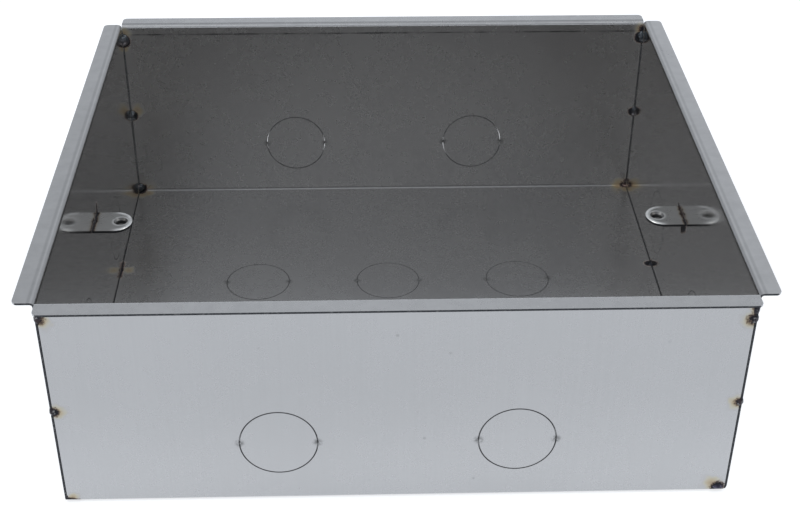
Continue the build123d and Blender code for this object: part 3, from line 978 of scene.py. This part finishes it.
studio = {
    "floorSize": 12.0, "floorDrop": 0.0004, "floorColour": (0.50, 0.51, 0.525, 1.0),
    "paperScale": 900.0, "paperShade": 0.985,
    "floorGlow": 0.74, "seenColour": (0.985, 0.990, 1.0, 1.0), "lightColour": (0.93, 0.99, 1.08, 1.0),
    "glowInMetal": 0.77, "glowFar": 0.89, "glowNear": 1.16, "glowFarY": -0.23, "glowNearY": -0.145,
    "underBoxX": (0.148, 0.152), "underBoxY": (0.135, 0.139),
    "horizon": 0.97, "horizonLow": 0.08, "horizonHigh": 0.50,
    "frontLow": 0.31, "frontRise": 1.1, "frontRiseFrom": 0.454, "frontRiseMost": 0.2, "frontTilt": -0.38,
    "frontSides": -0.55, "frontPeak": 0.32, "frontPeakFrom": 0.64, "frontPeakFull": 0.76,
    "backLow": 0.68, "backRise": 0.13, "backRiseFrom": 0.49, "backRiseFull": 0.57, "backTilt": 0.10,
    "backSides": -0.44, "sidesMost": 0.25, "frontToBack": 0.4,
    "zenith": 0.68, "zenithFrom": 0.74, "zenithFull": 0.92, "zenithBackward": 0.2,
    "lampPower": 7.0, "lampSize": 0.7, "lampSpread": 1.15, "lampY": -0.3, "lampHeight": 1.6,
    "lampTarget": (0, 0, 0.05), "lampColour": (0.98, 0.99, 1.0),
}


def addLamp(name, side):
    data = bpy.data.lights.new(name, "AREA")
    data.shape, data.size = "SQUARE", studio["lampSize"]
    data.energy, data.color = studio["lampPower"], studio["lampColour"]
    lamp = bpy.data.objects.new(name, data)
    lamp.location = (side * studio["lampSpread"], studio["lampY"], studio["lampHeight"])
    way = Vector(studio["lampTarget"]) - lamp.location
    lamp.rotation_euler = way.to_track_quat("-Z", "Y").to_euler()
    scene.collection.objects.link(lamp)


def addRoom():
    # pale near the horizon, grey overhead, and darker in front of the box than behind it
    world = bpy.data.worlds.new("room")
    world.use_nodes = True
    scene.world = world
    tree = world.node_tree
    tree.nodes.clear()
    x, y, z = separate(tree, addNode(tree, "ShaderNodeTexCoord").outputs["Generated"])
    aside = calc(tree, "MINIMUM", calc(tree, "ABSOLUTE", x), studio["sidesMost"])
    higher = calc(tree, "MAXIMUM", calc(tree, "SUBTRACT", z, studio["frontRiseFrom"]), 0.0)
    higher = calc(tree, "MINIMUM", higher, studio["frontRiseMost"])
    front = calc(tree, "MULTIPLY_ADD", higher, studio["frontRise"], studio["frontLow"])
    front = calc(tree, "MULTIPLY_ADD", x, studio["frontTilt"], front)
    front = calc(tree, "MULTIPLY_ADD", aside, studio["frontSides"], front)
    peak = remap(tree, z, studio["frontPeakFrom"], studio["frontPeakFull"], 0.0, studio["frontPeak"])
    front = calc(tree, "ADD", front, peak)
    back = remap(tree, z, studio["backRiseFrom"], studio["backRiseFull"],
                 studio["backLow"], studio["backLow"] + studio["backRise"])
    back = calc(tree, "MULTIPLY_ADD", x, studio["backTilt"], back)
    back = calc(tree, "MULTIPLY_ADD", aside, studio["backSides"], back)
    toBack = remap(tree, y, -studio["frontToBack"], studio["frontToBack"])
    overhead = addNode(tree, "ShaderNodeMix", {"Factor": toBack, "A": front, "B": back}).outputs[0]
    upwards = calc(tree, "MULTIPLY_ADD", y, studio["zenithBackward"], z)
    zenith = remap(tree, upwards, studio["zenithFrom"], studio["zenithFull"], 1.0, studio["zenith"])
    overhead = calc(tree, "MULTIPLY", overhead, zenith)
    up = remap(tree, z, studio["horizonLow"], studio["horizonHigh"])
    shade = addNode(tree, "ShaderNodeMix", {"Factor": up, "A": studio["horizon"], "B": overhead}).outputs[0]
    light = addNode(tree, "ShaderNodeBackground", {"Color": studio["lightColour"], "Strength": shade})
    white = addNode(tree, "ShaderNodeBackground", {"Color": (1.0, 1.0, 1.0, 1.0), "Strength": 1.0})
    seen = addNode(tree, "ShaderNodeLightPath").outputs["Is Camera Ray"]
    mixed = addNode(tree, "ShaderNodeMixShader", {0: seen, 1: light.outputs[0], 2: white.outputs[0]})
    out = addNode(tree, "ShaderNodeOutputWorld")
    tree.links.new(mixed.outputs[0], out.inputs["Surface"])


def floorMaterial():
    # pale paper that looks white and shows in the metal, with no glow under the box
    material = bpy.data.materials.new("paleFloor")
    material.use_nodes = True
    tree = material.node_tree
    tree.nodes.clear()
    position = addNode(tree, "ShaderNodeTexCoord").outputs["Object"]
    x, y = separate(tree, position)[:2]
    beside = calc(tree, "MAXIMUM", remap(tree, calc(tree, "ABSOLUTE", x), *studio["underBoxX"]),
                  remap(tree, calc(tree, "ABSOLUTE", y), *studio["underBoxY"]))
    rays = addNode(tree, "ShaderNodeLightPath").outputs
    mirrored = calc(tree, "MAXIMUM", rays["Is Glossy Ray"], rays["Is Transmission Ray"])
    # painted light: in the metal the floor's glow rises in a band just in front of the box
    near = remap(tree, y, studio["glowFarY"], studio["glowNearY"], studio["glowFar"], studio["glowNear"])
    inMetal = calc(tree, "MULTIPLY", mirrored, calc(tree, "MULTIPLY", near, studio["glowInMetal"]))
    seen = calc(tree, "ADD", inMetal, rays["Is Camera Ray"])
    glow = calc(tree, "MULTIPLY", calc(tree, "MULTIPLY", seen, beside), studio["floorGlow"])
    glowColour = mixColours(tree, mirrored, studio["seenColour"], studio["lightColour"])
    paper = remap(tree, noiseAt(tree, position, studio["paperScale"]), 0.3, 0.7, studio["paperShade"], 1.0,
                  smooth=False)
    colour = mixColours(tree, 1.0, studio["floorColour"], grey(tree, paper), mode="MULTIPLY")
    diffuse = addNode(tree, "ShaderNodeBsdfDiffuse", {"Color": colour})
    emission = addNode(tree, "ShaderNodeEmission", {"Color": glowColour, "Strength": glow})
    summed = addNode(tree, "ShaderNodeAddShader", {0: diffuse.outputs[0], 1: emission.outputs[0]})
    out = addNode(tree, "ShaderNodeOutputMaterial")
    tree.links.new(summed.outputs[0], out.inputs["Surface"])
    return material


def addFloor():
    shape = bmesh.new()
    bmesh.ops.create_grid(shape, x_segments=8, y_segments=8, size=studio["floorSize"] / 2)
    mesh = bpy.data.meshes.new("floor")
    shape.to_mesh(mesh)
    shape.free()
    mesh.materials.append(floorMaterial())
    floor = bpy.data.objects.new("floor", mesh)
    floor.location = (0.0, 0.0, -studio["floorDrop"])
    scene.collection.objects.link(floor)


addRoom()
addFloor()
addLamp("lampLeft", -1)
addLamp("lampRight", 1)
print("room lit")
